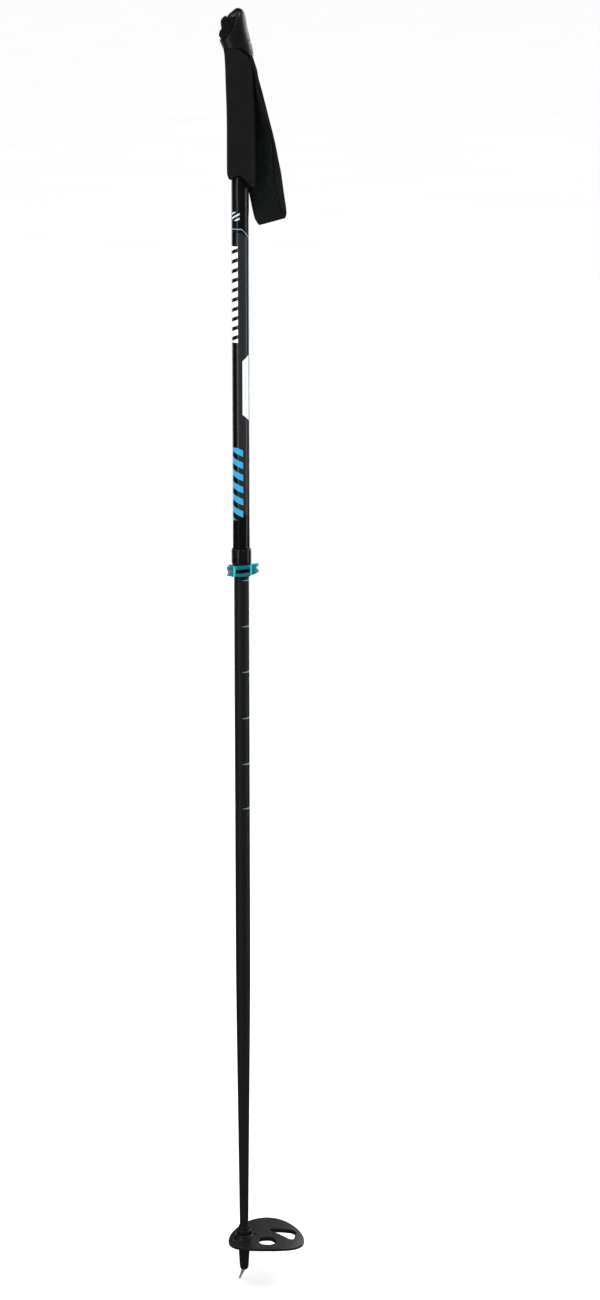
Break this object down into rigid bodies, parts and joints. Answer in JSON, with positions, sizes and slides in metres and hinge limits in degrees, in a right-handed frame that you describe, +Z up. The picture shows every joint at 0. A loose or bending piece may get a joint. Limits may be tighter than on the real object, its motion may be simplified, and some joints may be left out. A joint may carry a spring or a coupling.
{
  "type": "ski pole",
  "caption": "Length-adjustable ski pole with foam grip, hooded head, wrist strap, lever clamp, tapered lower tube, cupped basket and bent spike.",
  "frame": {"origin": "the flat end of the spike", "axes": "+Z up along the shaft, +X to the back where the strap hangs and the basket is long, Y to the side"},
  "size_m": [0.0882, 0.081, 1.397],
  "materials": {
    "gloss_black_tube": "gloss lacquer",
    "satin_black_tube": "satin",
    "black_plastic": "satin moulded",
    "charcoal_foam": "matte closed-cell foam",
    "black_webbing": "woven",
    "teal_aluminium": "anodised",
    "bare_steel": "plain",
    "white_nylon": "moulded"
  },
  "bodies": {
    "upper_section": {"upper_tube": "gloss_black_tube", "top_plug": "white_nylon", "grip_head": "black_plastic", "grip_foam": "charcoal_foam", "strap_pin": "bare_steel", "strap_anchor": "black_webbing", "clamp_housing": "black_plastic", "clamp_liner": "white_nylon", "lever_pivot_pin": "bare_steel", "cam_plate": "bare_steel", "screw_washer": "bare_steel"},
    "strap_lock": {"strap_lock": "black_plastic"},
    "wrist_strap": {"strap_loop": "black_webbing"},
    "clamp_lever": {"clamp_lever": "teal_aluminium"},
    "clamp_screw": {"clamp_screw": "bare_steel"},
    "lower_section": {"lower_tube": "satin_black_tube", "guide_bush": "white_nylon", "basket": "black_plastic", "tip_ferrule": "black_plastic", "spike": "bare_steel"}
  },
  "joints": [
    {"name": "length_slide", "type": "slide", "parent": "upper_section", "child": "lower_section", "axis": [0, 0, 1], "range_m": [0, 0.25]},
    {"name": "lever_swing", "type": "hinge", "parent": "upper_section", "child": "clamp_lever", "pos_m": [-0.0063, -0.0074, 0.8184], "axis": [0, 0, -1], "range_deg": [0, 140]},
    {"name": "screw_turn", "type": "hinge", "parent": "upper_section", "child": "clamp_screw", "pos_m": [-0.0063, 0, 0.8184], "axis": [0, 1, 0], "range_deg": [-180, 180]},
    {"name": "lock_slide", "type": "slide", "parent": "upper_section", "child": "strap_lock", "axis": [-0.6, 0, 0.8], "range_m": [0, 0.012]},
    {"name": "strap_swing", "type": "hinge", "parent": "upper_section", "child": "wrist_strap", "pos_m": [0.0234, 0, 1.345], "axis": [0, -1, 0], "range_deg": [0, 75]}
  ]
}
